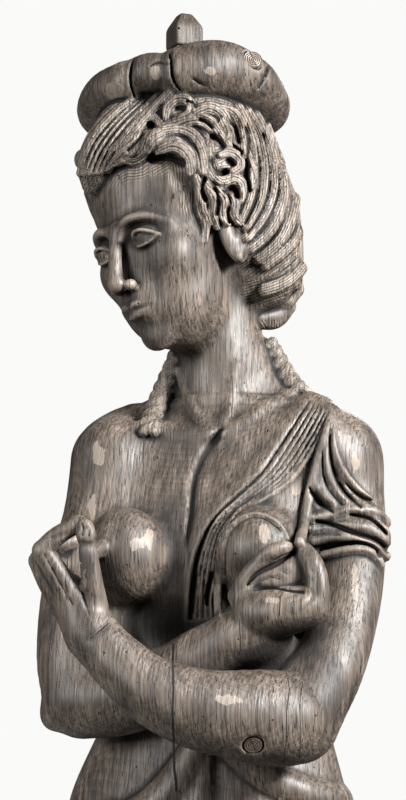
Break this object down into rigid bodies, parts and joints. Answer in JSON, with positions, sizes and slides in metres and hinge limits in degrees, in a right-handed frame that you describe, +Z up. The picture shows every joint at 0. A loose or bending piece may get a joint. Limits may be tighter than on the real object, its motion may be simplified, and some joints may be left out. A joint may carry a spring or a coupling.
{
  "type": "caryatid",
  "caption": "Life-size carved wooden caryatid: a standing woman with crossed arms, draped from one shoulder, a ring cushion and a locating peg on her head, on a low square base.",
  "frame": {"origin": "centre of the base's underside", "axes": "+Z up along the figure's height; the body faces -Y and her left hand side is +X"},
  "size_m": [0.42, 0.4373, 1.9083],
  "materials": {
    "figure_wood": "aged oak, carved and waxed, worn glossy on the high places",
    "peg_wood": "paler oak, chisel-cut and dry",
    "plug_wood": "end-grain oak, waxed over"
  },
  "bodies": {
    "root": {"figure": "figure_wood", "head_peg": "peg_wood", "cushion_plug": "plug_wood", "forearm_plug": "plug_wood"}
  },
  "joints": []
}
